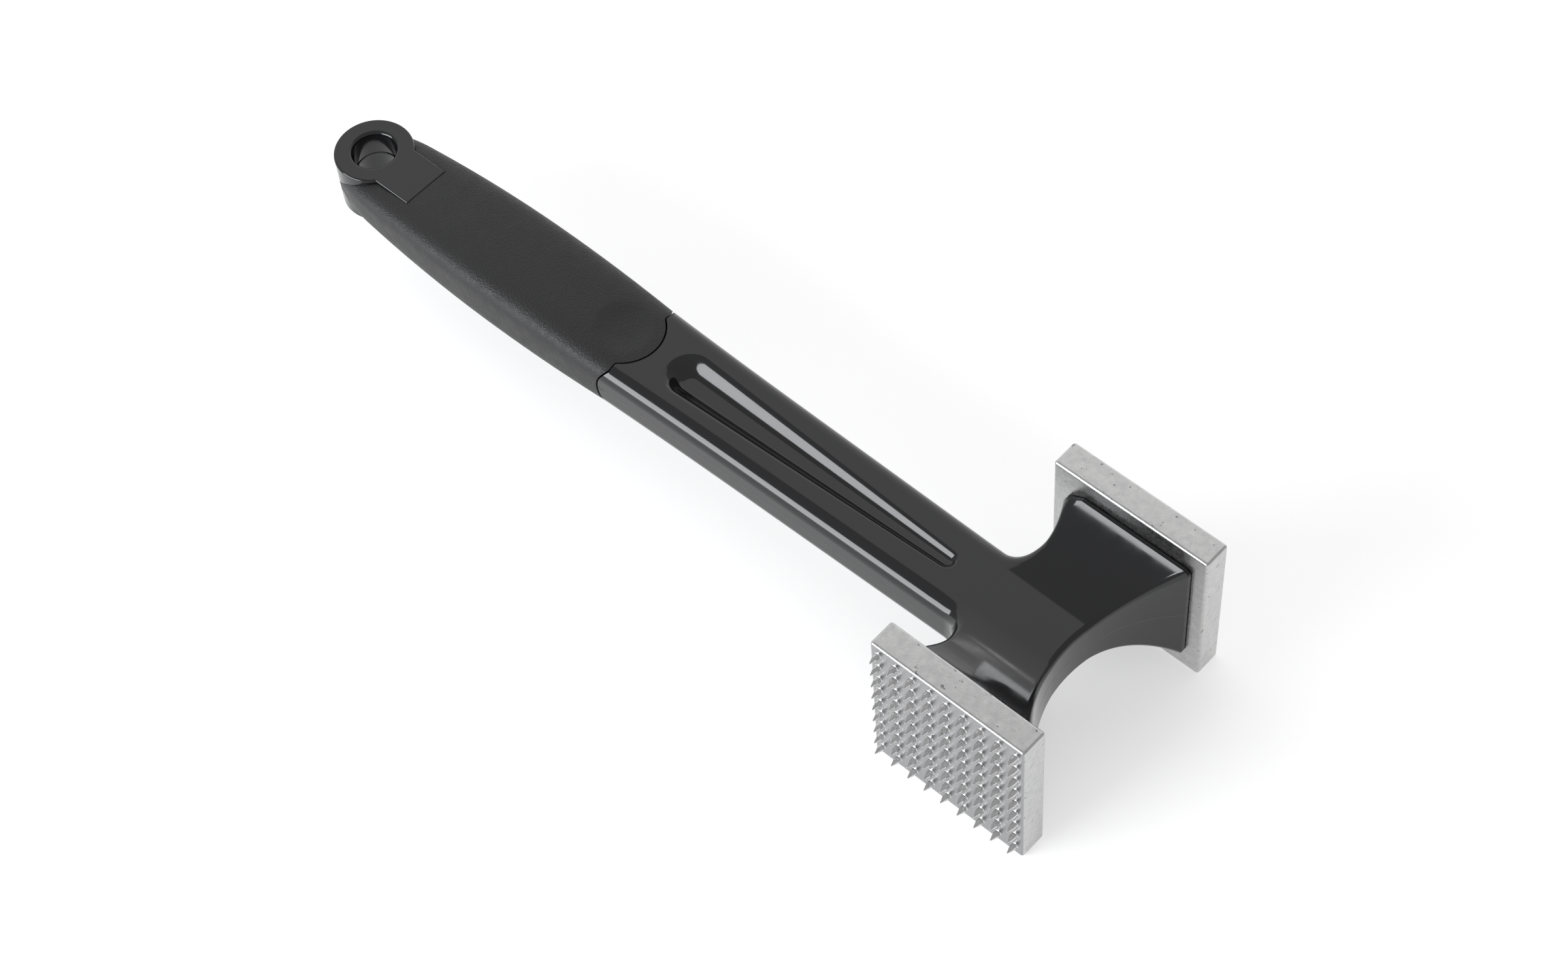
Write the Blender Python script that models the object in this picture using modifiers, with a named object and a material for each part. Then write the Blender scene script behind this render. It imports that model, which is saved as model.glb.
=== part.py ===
"""Meat mallet: a double-faced kitchen mallet with a moulded handle.

Lengths are in millimetres. X runs along the handle from the hanging eye to the head, with
x = 0 on the striking axis; Y runs from the spiked face to the smooth face, with y = 0 on the
handle's middle plane; Z is up, with z = 0 at mid-height. A root empty then moves the whole
so that the origin is under the middle of the object, at the height it stands on.
"""
import math

import bmesh
import bpy
from mathutils import Matrix, Vector

MM = 0.001
ASSEMBLY = "meat_mallet"
CUTTERS = "cutters"
CLEARANCE = 0.3
OVERLAP = 0.1
MERGE_DISTANCE = 0.00001
SHARP_ANGLE = 40.0
SMALL_SEGMENTS = 3

# Striking plates, cast, with spikes on one face
PLATE_WIDTH = 54.0
PLATE_HEIGHT = 56.4
PLATE_THICKNESS = 9.1
FACE_TO_FACE = 86.6
PLATE_EDGE_RADIUS = 0.9
SPIKE_ROWS = 9
SPIKE_PITCH = 6.05
SPIKE_BASE_RADIUS = 1.0
SPIKE_SHOULDER_RADIUS = 0.85
SPIKE_TIP_RADIUS = 0.15
SPIKE_SHANK = 1.4
SPIKE_LENGTH = 3.5
SPIKE_ROOT = 0.4
SPIKE_SIDES = 10

# Grooved spigot on the back of each plate, and the stud that joins the plates
SPIGOT_SIDE = 16.0
SPIGOT_WAIST = 13.0
SPIGOT_ROOT = 4.7
SPIGOT_GROOVE = 4.0
SPIGOT_LENGTH = 13.2
STUD_X = -4.0
STUD_RADIUS = 4.0
STUD_HALF_LENGTH = 29.0
STUD_CHAMFER = 0.8
STUD_SIDES = 24

# Head: waist, flares, and the collar that meets each plate
HALF_THICKNESS = 8.8
WAIST_FRONT_X = 7.0
COLLAR_HALF_WIDTH = 22.0
COLLAR_HALF_HEIGHT = 21.0
COLLAR_LENGTH = 1.2
FLARE_START_TILT = 9.0
FLARE_BLEND_RADIUS = 12.0
FLARE_BACK_X = -18.7
FILLET_RADIUS = 8.3
BACK_RIDGE_INSET = 6.4
FLAT_STATIONS = 2
FILLET_STATIONS = 7
FLARE_STATIONS = 9
RIDGE_RADIUS = 1.8
RIDGE_FADE_LENGTH = 4.3

# Neck
NECK_ROOT_X = FLARE_BACK_X - FILLET_RADIUS
NECK_ROOT_HALF_WIDTH = 13.7
FILLET_CENTRE_Y = NECK_ROOT_HALF_WIDTH + FILLET_RADIUS
FLARE_START_Y = FILLET_CENTRE_Y - FILLET_RADIUS - BACK_RIDGE_INSET
NECK_TAPER = 0.0145
NECK_FLARE_START_X = -105.0
NECK_FLARE = 0.00018
NECK_BACK_X = -166.0
NECK_STATIONS = 14
NECK_EDGE_RADIUS = 5.0
EDGE_SEGMENTS = 5

# Tapered pocket in the top and in the bottom of the neck
POCKET_WIDE_X = -136.0
POCKET_WIDE_RADIUS = 7.9
POCKET_WIDE_DEPTH = 4.2
POCKET_TIP_X = -37.1
POCKET_TIP_RADIUS = 3.0
POCKET_TIP_DEPTH = 1.6
POCKET_FLOOR_SHARE = 0.25
POCKET_RIM = 0.4
POCKET_END_SEGMENTS = 16
POCKET_WALL_SEGMENTS = 7

# Grip: half-width and half-thickness fall away from the widest point by a square law
GRIP_WIDEST_X = -203.0
GRIP_HALF_WIDTH = 17.4
GRIP_HALF_THICKNESS = 10.9
GRIP_BACK_TAPER = 0.00075
GRIP_FRONT_TAPER = 0.00055
GRIP_CROWN_TAPER = 0.00072
GRIP_SQUARENESS = 4.0
GRIP_BACK_X = -275.0
GRIP_END_LENGTH = 14.0
GRIP_END_TUCK = 1.7
GRIP_END_DROP = 0.8
GRIP_STATIONS = 28
GRIP_SIDES = 48

# The grip's front edge: a round tongue above and below, a hollow arc at each side
GRIP_FRONT_X = -156.3
THUMB_X = -163.0
TONGUE_RADIUS = 12.5
TONGUE_BLEND = 1.6
TONGUE_SEGMENTS = 10
BLEND_SEGMENTS = 4
SIDE_ARC_RADIUS = 11.1
SIDE_ARC_SAGITTA = 3.4
SIDE_ARC_INNER_Y = 11.6
SIDE_ARC_SIDES = 48
JOINT_GROOVE = 0.5
ZONE_BACK_X = -330.0
ZONE_HALF_WIDTH = 40.0
THUMB_RADIUS = 8.2
THUMB_DEPTH = 0.9
THUMB_SEGMENTS = 5
THUMB_SIDES = 32

# Tang, hanging eye and tab at the butt
TANG_HALF_WIDTH = 10.5
TANG_HALF_HEIGHT = 5.6
TANG_FRONT_X = -145.0
TANG_EDGE = 1.0
EYE_X = -270.3
EYE_RADIUS = 12.6
EYE_HALF_HEIGHT = 9.6
EYE_EDGE_RADIUS = 0.7
EYE_EDGE_SEGMENTS = 3
EYE_SIDES = 64
HOLE_MOUTH_RADIUS = 6.9
HOLE_EDGE_RADIUS = 1.2
HOLE_MIDDLE_RADIUS = 6.6
HOLE_LEDGE = 1.0
TAB_FRONT_X = -246.9
TAB_HALF_WIDTH = 8.2

# Colour, roughness and metallic value of each material
ALUMINIUM = ((0.62, 0.62, 0.61), 0.32, 1.0)
STEEL = ((0.42, 0.42, 0.43), 0.35, 1.0)
BLACK_NYLON = ((0.035, 0.035, 0.038), 0.18, 0.0)
GRIP_PLASTIC = ((0.045, 0.045, 0.046), 0.55, 0.0)


def clear_scene():
    """Remove every object, so that the script starts from nothing."""
    for item in list(bpy.data.objects):
        bpy.data.objects.remove(item, do_unlink=True)


def make_collection(name, hidden):
    """A collection in the scene; the cutters' one is left out of renders."""
    group = bpy.data.collections.new(name)
    bpy.context.scene.collection.children.link(group)
    group.hide_render = hidden
    return group


def finish_part(item, colour, roughness, metallic):
    """Give a part its own plain material and smooth shading."""
    material = bpy.data.materials.new(item.name)
    material.use_nodes = True
    shader = material.node_tree.nodes["Principled BSDF"]
    shader.inputs["Base Color"].default_value = (*colour, 1.0)
    shader.inputs["Roughness"].default_value = roughness
    shader.inputs["Metallic"].default_value = metallic
    item.data.materials.append(material)
    item.data.shade_smooth()


def place(item, group):
    """Link an item into its collection; cutters show as wires only."""
    group.objects.link(item)
    if group.name == CUTTERS:
        item.display_type = "WIRE"
        item.hide_render = True
    return item


def mesh_object(name, bm, group):
    """Turn a bmesh in millimetres into an object in metres."""
    bmesh.ops.scale(bm, vec=Vector((MM, MM, MM)), verts=bm.verts)
    bmesh.ops.recalc_face_normals(bm, faces=bm.faces)
    mesh = bpy.data.meshes.new(name)
    bm.to_mesh(mesh)
    bm.free()
    return place(bpy.data.objects.new(name, mesh), group)


def add_bevel(item, width, segments, by_weight=False):
    """Round the edges of an item, all the sharp ones or the weighted ones."""
    bevel = item.modifiers.new("bevel", "BEVEL")
    bevel.width = width * MM
    bevel.segments = segments
    bevel.use_clamp_overlap = False
    bevel.limit_method = "WEIGHT" if by_weight else "ANGLE"
    bevel.angle_limit = math.radians(SHARP_ANGLE)


def add_boolean(item, operation, tool):
    """Combine an item with a tool."""
    step = item.modifiers.new(tool.name, "BOOLEAN")
    step.operation = operation
    step.object = tool
    step.solver = "EXACT"


def block(name, low, high, group, bevel=0.0):
    """A box between two corners, with its edges rounded."""
    bm = bmesh.new()
    bmesh.ops.create_cube(bm, size=1.0)
    size = [b - a for a, b in zip(low, high)]
    centre = [(a + b) / 2 for a, b in zip(low, high)]
    bmesh.ops.scale(bm, vec=size, verts=bm.verts)
    bmesh.ops.translate(bm, vec=centre, verts=bm.verts)
    item = mesh_object(name, bm, group)
    if bevel > 0.0:
        add_bevel(item, bevel, SMALL_SEGMENTS)
    return item


def cylinder(name, axis, centre, radius, length, sides, group):
    """A closed cylinder along Y or Z."""
    bm = bmesh.new()
    bmesh.ops.create_cone(bm, cap_ends=True, segments=sides, radius1=radius, radius2=radius, depth=length)
    if axis == "Y":
        bmesh.ops.rotate(bm, matrix=Matrix.Rotation(math.pi / 2, 3, "X"), verts=bm.verts)
    bmesh.ops.translate(bm, vec=centre, verts=bm.verts)
    return mesh_object(name, bm, group)


def turned(name, axis, profile, centre, sides, group):
    """A profile of radius and height, turned about an axis by a Screw modifier."""
    mesh = bpy.data.meshes.new(name)
    points = [(r * MM, h * MM, 0.0) if axis == "Y" else (r * MM, 0.0, h * MM) for r, h in profile]
    mesh.from_pydata(points, [(i, i + 1) for i in range(len(points) - 1)], [])
    item = place(bpy.data.objects.new(name, mesh), group)
    item.location = Vector(centre) * MM
    screw = item.modifiers.new("turn", "SCREW")
    screw.axis = axis
    screw.steps = sides
    screw.render_steps = sides
    screw.use_merge_vertices = True
    screw.merge_threshold = MERGE_DISTANCE
    return item


def prism(name, outline, half_height, group):
    """A flat outline in the XY plane, extruded the same height up and down."""
    bm = bmesh.new()
    base = bm.faces.new([bm.verts.new((x, y, -half_height)) for x, y in outline])
    lifted = bmesh.ops.extrude_face_region(bm, geom=[base])
    moved = [part for part in lifted["geom"] if isinstance(part, bmesh.types.BMVert)]
    bmesh.ops.translate(bm, vec=(0.0, 0.0, 2 * half_height), verts=moved)
    return mesh_object(name, bm, group)


def bridge(bm, loops):
    """Close a row of vertex loops into a solid, with a flat face at each end."""
    for a, b in zip(loops, loops[1:]):
        for i in range(len(a)):
            j = (i + 1) % len(a)
            bm.faces.new((a[i], a[j], b[j], b[i]))
    bm.faces.new(loops[0])
    bm.faces.new(loops[-1])


def arc_radius(half_chord, height):
    """Radius of the arc that rises by height over a half chord."""
    return (half_chord ** 2 + height ** 2) / (2.0 * height)


# --- Striking plates ---------------------------------------------------------------------


def spigot_blocks(name, side, gap, group):
    """Root, waist and foot of the spigot behind a plate, grown by a gap."""
    back = FACE_TO_FACE / 2 - PLATE_THICKNESS
    groove_end = back - SPIGOT_ROOT
    foot_end = groove_end - SPIGOT_GROOVE
    tip = back - SPIGOT_LENGTH
    spans = [
        ("root", SPIGOT_SIDE / 2 + gap, groove_end - gap, back + 1.0),
        ("waist", SPIGOT_WAIST / 2 + gap, foot_end + gap - OVERLAP, groove_end - gap + OVERLAP),
        ("foot", SPIGOT_SIDE / 2 + gap, tip - gap, foot_end + gap),
    ]
    pieces = []
    for label, half, near, far in spans:
        low_y, high_y = sorted((side * near, side * far))
        low = (STUD_X - half, low_y, -half)
        high = (STUD_X + half, high_y, half)
        pieces.append(block(f"{name}_{label}", low, high, group))
    return pieces


def spikes(group):
    """The grid of spikes, one turned form repeated by two arrays."""
    profile = [
        (0.0, SPIKE_ROOT),
        (SPIKE_BASE_RADIUS, SPIKE_ROOT),
        (SPIKE_BASE_RADIUS, 0.0),
        (SPIKE_SHOULDER_RADIUS, -SPIKE_SHANK),
        (SPIKE_TIP_RADIUS, -SPIKE_LENGTH),
        (0.0, -SPIKE_LENGTH),
    ]
    first = -SPIKE_PITCH * (SPIKE_ROWS - 1) / 2
    item = turned("spikes", "Y", profile, (first, -FACE_TO_FACE / 2, first), SPIKE_SIDES, group)
    for label, offset in (("across", (SPIKE_PITCH * MM, 0.0, 0.0)), ("up", (0.0, 0.0, SPIKE_PITCH * MM))):
        grid = item.modifiers.new(label, "ARRAY")
        grid.count = SPIKE_ROWS
        grid.use_relative_offset = False
        grid.use_constant_offset = True
        grid.constant_offset_displace = offset
    return item


def plate(name, side, parts, cutters):
    """A cast plate: rounded slab, spigot with a groove, blind hole for the stud."""
    face = side * FACE_TO_FACE / 2
    back = side * (FACE_TO_FACE / 2 - PLATE_THICKNESS)
    low_y, high_y = sorted((face, back))
    low = (-PLATE_WIDTH / 2, low_y, -PLATE_HEIGHT / 2)
    high = (PLATE_WIDTH / 2, high_y, PLATE_HEIGHT / 2)
    item = block(name, low, high, parts, PLATE_EDGE_RADIUS)
    for piece in spigot_blocks(name + "_spigot", side, 0.0, cutters):
        add_boolean(item, "UNION", piece)
    depth = STUD_HALF_LENGTH + CLEARANCE
    near = FACE_TO_FACE / 2 - PLATE_THICKNESS - SPIGOT_LENGTH - 1.0
    centre = (STUD_X, side * (near + depth) / 2, 0.0)
    hole = cylinder(name + "_hole", "Y", centre, STUD_RADIUS + CLEARANCE, depth - near, STUD_SIDES, cutters)
    add_boolean(item, "DIFFERENCE", hole)
    return item


def tie_stud(parts):
    """The steel stud that runs through the head from plate to plate."""
    edge = STUD_RADIUS - STUD_CHAMFER
    end = STUD_HALF_LENGTH
    profile = [
        (0.0, end),
        (edge, end),
        (STUD_RADIUS, end - STUD_CHAMFER),
        (STUD_RADIUS, -end + STUD_CHAMFER),
        (edge, -end),
        (0.0, -end),
    ]
    return turned("tie_stud", "Y", profile, (STUD_X, 0.0, 0.0), STUD_SIDES, parts)


# --- Core: head, neck, tang and hanging eye ----------------------------------------------


def collar_span():
    """Where the collar begins and ends, short of the plate."""
    end = FACE_TO_FACE / 2 - PLATE_THICKNESS - CLEARANCE
    return end - COLLAR_LENGTH, end


def saddle_rise(y):
    """Rise of the saddle at a distance y from the middle plane: a short blend, then a long arc."""
    start, _ = collar_span()
    run = min(y, start) - FLARE_START_Y
    tilt = math.radians(FLARE_START_TILT)
    blend = FLARE_BLEND_RADIUS * math.sin(tilt)
    if run <= 0.0:
        return 0.0
    if run < blend:
        return FLARE_BLEND_RADIUS - math.sqrt(FLARE_BLEND_RADIUS ** 2 - run ** 2)
    base = FLARE_BLEND_RADIUS * (1.0 - math.cos(tilt))
    length = start - FLARE_START_Y - blend
    height = COLLAR_HALF_HEIGHT - HALF_THICKNESS - base
    end_tilt = 2.0 * math.atan2(height, length) - tilt
    radius = length / (math.sin(end_tilt) - math.sin(tilt))
    sine = math.sin(tilt) + (run - blend) / radius
    return base + radius * (math.cos(tilt) - math.sqrt(1.0 - sine ** 2))


def head_height(x, y):
    """Half-height of the head: the saddle fades out where the neck begins."""
    share = min(max((x - NECK_ROOT_X) / FILLET_RADIUS, 0.0), 1.0)
    return HALF_THICKNESS + saddle_rise(abs(y)) * share * share * (3.0 - 2.0 * share)


def head_front(y):
    """Front outline of the head, a hollow arc from collar to collar."""
    start, _ = collar_span()
    radius = arc_radius(start, COLLAR_HALF_WIDTH - WAIST_FRONT_X)
    return WAIST_FRONT_X + radius - math.sqrt(radius ** 2 - min(y, start) ** 2)


def head_back(y):
    """Back outline of the flare, from the end of the fillet to the collar."""
    start, _ = collar_span()
    run = min(y, start) - FILLET_CENTRE_Y
    radius = arc_radius(start - FILLET_CENTRE_Y, COLLAR_HALF_WIDTH + FLARE_BACK_X)
    return FLARE_BACK_X - radius + math.sqrt(radius ** 2 - run ** 2)


def neck_half_width(x):
    """Half-width of the neck, which widens towards the grip."""
    flare = max(NECK_FLARE_START_X - x, 0.0)
    return NECK_ROOT_HALF_WIDTH + NECK_TAPER * (NECK_ROOT_X - x) + NECK_FLARE * flare ** 2


def head_columns():
    """Plan of the head's top, from the middle plane out: rows of points from back to front."""
    start, end = collar_span()
    columns = []
    for i in range(FLAT_STATIONS):
        y = FLARE_START_Y * i / FLAT_STATIONS
        columns.append([(NECK_ROOT_X, y), (head_front(y), y)])
    for i in range(FILLET_STATIONS):
        angle = math.pi / 2 * i / FILLET_STATIONS
        ring = [FILLET_RADIUS, FILLET_RADIUS + BACK_RIDGE_INSET]
        row = [(NECK_ROOT_X + r * math.sin(angle), FILLET_CENTRE_Y - r * math.cos(angle)) for r in ring]
        columns.append(row + [(head_front(row[1][1]), row[1][1])])
    flare = [FILLET_CENTRE_Y + (start - FILLET_CENTRE_Y) * i / FLARE_STATIONS for i in range(FLARE_STATIONS + 1)]
    for y in flare + [end]:
        back = head_back(y)
        columns.append([(back, y), (back + BACK_RIDGE_INSET, y), (head_front(y), y)])
    return columns


def edge_weight(x, y):
    """Full radius along the neck, fading in the fillets to the radius of the head's ridges."""
    small = RIDGE_RADIUS / NECK_EDGE_RADIUS
    if x > 0.0:
        return small
    fade = (abs(y) - NECK_ROOT_HALF_WIDTH) / RIDGE_FADE_LENGTH
    return 1.0 + (small - 1.0) * min(max(fade, 0.0), 1.0) if x > NECK_ROOT_X else 1.0


def weigh_edges(bm):
    """Bevel weights on the ridges of the head and along the neck."""
    bmesh.ops.recalc_face_normals(bm, faces=bm.faces)
    weight = bm.edges.layers.float.new("bevel_weight_edge")
    for edge in bm.edges:
        a, b = (vertex.co for vertex in edge.verts)
        middle = (a + b) / 2
        upright = abs(a.z - b.z) > HALF_THICKNESS
        at_end = abs(middle.y) > collar_span()[1] - MM or middle.x < NECK_BACK_X + OVERLAP
        blunt = edge.calc_face_angle(0.0) < math.radians(SHARP_ANGLE)
        on_collar_line = abs(abs(middle.y) - collar_span()[0]) < MM
        if not (upright or at_end or blunt or on_collar_line):
            edge[weight] = edge_weight(middle.x, middle.y)


def head_and_neck(group):
    """The waisted head and the neck as one mesh with rounded ridges."""
    half = head_columns()
    plan = [[(x, -y) for x, y in row] for row in reversed(half[1:])] + half
    bm = bmesh.new()
    top, bottom = ([[bm.verts.new((x, y, side * head_height(x, y))) for x, y in row] for row in plan]
                   for side in (1, -1))
    for i in range(len(plan) - 1):
        for face in (top, bottom):
            a, b = face[i][-2:], face[i + 1][-2:]
            bm.faces.new((a[0], a[1], b[1], b[0]))
            if len(face[i]) == 3 and len(face[i + 1]) == 3:
                bm.faces.new((face[i][0], a[0], b[0], face[i + 1][0]))
        bm.faces.new((top[i][-1], bottom[i][-1], bottom[i + 1][-1], top[i + 1][-1]))
        if len(plan[i]) == 3 and len(plan[i + 1]) == 3:
            bm.faces.new((top[i][0], bottom[i][0], bottom[i + 1][0], top[i + 1][0]))
    for i in (0, -1):
        bm.faces.new(top[i] + bottom[i][::-1])
    roots = [i for i, row in enumerate(plan) if abs(row[0][0] - NECK_ROOT_X) < MM and len(row) == 3]
    chains = []
    for side, root in ((-1, roots[0]), (1, roots[1])):
        chain = [(top[root][0], bottom[root][0])]
        for i in range(1, NECK_STATIONS + 1):
            x = NECK_ROOT_X + (NECK_BACK_X - NECK_ROOT_X) * i / NECK_STATIONS
            y = side * neck_half_width(x)
            chain.append([bm.verts.new((x, y, z)) for z in (HALF_THICKNESS, -HALF_THICKNESS)])
        for (a, b), (c, d) in zip(chain, chain[1:]):
            bm.faces.new((a, b, d, c))
        chains.append(chain)
    for k, face in enumerate((top, bottom)):
        across = [face[i][-2] for i in range(roots[0], roots[1] + 1)]
        there = [pair[k] for pair in chains[1]]
        return_way = [pair[k] for pair in reversed(chains[0])]
        bm.faces.new(across + there + return_way)
    bm.faces.new((*chains[0][-1], *reversed(chains[1][-1])))
    weigh_edges(bm)
    item = mesh_object("handle_core", bm, group)
    add_bevel(item, NECK_EDGE_RADIUS, EDGE_SEGMENTS, by_weight=True)
    return item


def teardrop(scale, margin):
    """Plan outline of the pocket: a wide and a small circle, and the lines that touch both."""
    wide = POCKET_WIDE_RADIUS * scale + margin
    tip = POCKET_TIP_RADIUS * scale + margin
    lean = math.acos((wide - tip) / (POCKET_TIP_X - POCKET_WIDE_X))
    points = []
    for i in range(POCKET_END_SEGMENTS + 1):
        angle = -lean + 2 * lean * i / POCKET_END_SEGMENTS
        points.append((POCKET_TIP_X + tip * math.cos(angle), tip * math.sin(angle)))
    for i in range(POCKET_END_SEGMENTS + 1):
        angle = lean + (2 * math.pi - 2 * lean) * i / POCKET_END_SEGMENTS
        points.append((POCKET_WIDE_X + wide * math.cos(angle), wide * math.sin(angle)))
    return points


def pocket_depth(x):
    """Depth of the pocket's floor, which rises towards the tip."""
    share = (x - POCKET_WIDE_X) / (POCKET_TIP_X - POCKET_WIDE_X)
    return POCKET_WIDE_DEPTH + (POCKET_TIP_DEPTH - POCKET_WIDE_DEPTH) * share


def pocket(name, side, group):
    """Cutter for one pocket: walls that are steepest halfway down, and a flat sloping floor."""
    rings = [(1.0, POCKET_RIM, -OVERLAP, 0.0), (1.0, POCKET_RIM, 0.0, 0.0)]
    for i in range(1, POCKET_WALL_SEGMENTS + 1):
        inward = i / POCKET_WALL_SEGMENTS
        scale = 1.0 - (1.0 - POCKET_FLOOR_SHARE) * inward
        share = (1.0 - math.cos(math.pi * inward)) / 2
        rings.append((scale, POCKET_RIM * (1.0 - inward), 0.0, share))
    bm = bmesh.new()
    loops = []
    for scale, margin, drop, share in rings:
        loop = []
        for x, y in teardrop(scale, margin):
            fall = drop + share * pocket_depth(x)
            loop.append(bm.verts.new((x, y, side * (HALF_THICKNESS - fall))))
        loops.append(loop)
    bridge(bm, loops)
    return mesh_object(name, bm, group)


def eye_profile(grow):
    """Profile of the hanging eye's outside, with rounded rims, grown by a gap."""
    radius = EYE_RADIUS + grow
    top = EYE_HALF_HEIGHT + grow
    rim = EYE_EDGE_RADIUS
    upper = [(0.0, top)]
    for i in range(EYE_EDGE_SEGMENTS + 1):
        angle = math.pi / 2 * i / EYE_EDGE_SEGMENTS
        upper.append((radius - rim + rim * math.sin(angle), top - rim + rim * math.cos(angle)))
    return upper + [(r, -z) for r, z in reversed(upper)]


def eye_hole(group):
    """Cutter for the hanging hole: drafted from both faces, with rounded rims."""
    top = EYE_HALF_HEIGHT
    rim = HOLE_EDGE_RADIUS
    upper = [(0.0, top + rim), (HOLE_MOUTH_RADIUS + rim, top + rim)]
    for i in range(EYE_EDGE_SEGMENTS + 1):
        angle = math.pi / 2 * i / EYE_EDGE_SEGMENTS
        upper.append((HOLE_MOUTH_RADIUS + rim - rim * math.sin(angle), top - rim + rim * math.cos(angle)))
    upper.append((HOLE_MIDDLE_RADIUS, HOLE_LEDGE / 2))
    profile = upper + [(r, -z) for r, z in reversed(upper)]
    return turned("eye_hole", "Z", profile, (EYE_X, 0.0, 0.0), EYE_SIDES, group)


def butt_pieces(name, grow, group):
    """Tang, hanging eye and tab, grown by a gap for the room they need in the grip."""
    half_y = TANG_HALF_WIDTH + grow
    half_z = TANG_HALF_HEIGHT + grow
    tang = block(name + "_tang", (EYE_X, -half_y, -half_z), (TANG_FRONT_X, half_y, half_z), group, TANG_EDGE)
    eye = turned(name + "_eye", "Z", eye_profile(grow), (EYE_X, 0.0, 0.0), EYE_SIDES, group)
    half_y = TAB_HALF_WIDTH + grow
    half_z = EYE_HALF_HEIGHT + grow
    tab = block(name + "_tab", (EYE_X, -half_y, -half_z), (TAB_FRONT_X + grow, half_y, half_z), group)
    return [tang, eye, tab]


def grip_zone(name, forward, group):
    """Everything behind the grip's front edge, moved forward by a gap."""
    front = GRIP_FRONT_X + forward
    radius = TONGUE_RADIUS + forward
    blend = TONGUE_BLEND - forward
    ahead = front + blend - THUMB_X
    aside = math.sqrt((radius + blend) ** 2 - ahead ** 2)
    meet = math.atan2(aside, ahead)
    half = [(ZONE_BACK_X, ZONE_HALF_WIDTH), (front, ZONE_HALF_WIDTH)]
    for i in range(BLEND_SEGMENTS + 1):
        angle = math.pi + meet * i / BLEND_SEGMENTS
        half.append((front + blend + blend * math.cos(angle), aside + blend * math.sin(angle)))
    for i in range(1, TONGUE_SEGMENTS + 1):
        angle = meet * (1.0 - i / TONGUE_SEGMENTS)
        half.append((THUMB_X + radius * math.cos(angle), radius * math.sin(angle)))
    outline = half + [(x, -y) for x, y in reversed(half[:-1])]
    zone = prism(name, outline, ZONE_HALF_WIDTH, group)
    centre_x = GRIP_FRONT_X - SIDE_ARC_SAGITTA + SIDE_ARC_RADIUS
    for label, side in (("left", -1), ("right", 1)):
        middle = side * (SIDE_ARC_INNER_Y + ZONE_HALF_WIDTH) / 2
        length = ZONE_HALF_WIDTH - SIDE_ARC_INNER_Y + 1.0
        scoop = cylinder(f"{name}_{label}", "Y", (centre_x, middle, 0.0), SIDE_ARC_RADIUS - forward,
                         length, SIDE_ARC_SIDES, group)
        add_boolean(zone, "DIFFERENCE", scoop)
    return zone


def handle_core(parts, cutters):
    """Head, neck, tang, eye and tab: one moulding."""
    item = head_and_neck(parts)
    add_boolean(item, "DIFFERENCE", grip_zone("neck_end", JOINT_GROOVE, cutters))
    for piece in butt_pieces("core", 0.0, cutters):
        add_boolean(item, "UNION", piece)
    add_boolean(item, "DIFFERENCE", eye_hole(cutters))
    for label, side in (("top", 1), ("bottom", -1)):
        add_boolean(item, "DIFFERENCE", pocket("pocket_" + label, side, cutters))
    bore = cylinder("stud_bore", "Y", (STUD_X, 0.0, 0.0), STUD_RADIUS + CLEARANCE, FACE_TO_FACE / 2,
                    STUD_SIDES, cutters)
    add_boolean(item, "DIFFERENCE", bore)
    for label, side in (("spiked", -1), ("smooth", 1)):
        for piece in spigot_blocks(label + "_socket", side, CLEARANCE, cutters):
            add_boolean(item, "DIFFERENCE", piece)
    return item


# --- Grip --------------------------------------------------------------------------------


def grip_section(x):
    """Half-width and half-thickness of the grip at x."""
    run = x - GRIP_WIDEST_X
    taper = GRIP_FRONT_TAPER if run > 0 else GRIP_BACK_TAPER
    closing = (max(GRIP_BACK_X + GRIP_END_LENGTH - x, 0.0) / GRIP_END_LENGTH) ** 2
    half_width = GRIP_HALF_WIDTH - taper * run ** 2 - GRIP_END_TUCK * closing
    half_thickness = GRIP_HALF_THICKNESS - GRIP_CROWN_TAPER * run ** 2 - GRIP_END_DROP * closing
    return half_width, half_thickness


def handle_grip(parts, cutters):
    """The grip sleeve: a rounded section swept along the handle, then hollowed."""
    bm = bmesh.new()
    loops = []
    front = THUMB_X + TONGUE_RADIUS + 1.0
    power = 2.0 / GRIP_SQUARENESS
    for i in range(GRIP_STATIONS + 1):
        x = GRIP_BACK_X + (front - GRIP_BACK_X) * i / GRIP_STATIONS
        half_width, half_thickness = grip_section(x)
        loop = []
        for k in range(GRIP_SIDES):
            angle = 2 * math.pi * (k + 0.5) / GRIP_SIDES
            y = half_width * math.copysign(abs(math.cos(angle)) ** power, math.cos(angle))
            z = half_thickness * math.copysign(abs(math.sin(angle)) ** power, math.sin(angle))
            loop.append(bm.verts.new((x, y, z)))
        loops.append(loop)
    bridge(bm, loops)
    item = mesh_object("handle_grip", bm, parts)
    add_boolean(item, "INTERSECT", grip_zone("grip_front", 0.0, cutters))
    for piece in butt_pieces("grip_room", CLEARANCE, cutters):
        add_boolean(item, "DIFFERENCE", piece)
    for label, side in (("top", 1), ("bottom", -1)):
        add_boolean(item, "DIFFERENCE", thumb_dimple("thumb_" + label, side, cutters))
    return item


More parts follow.
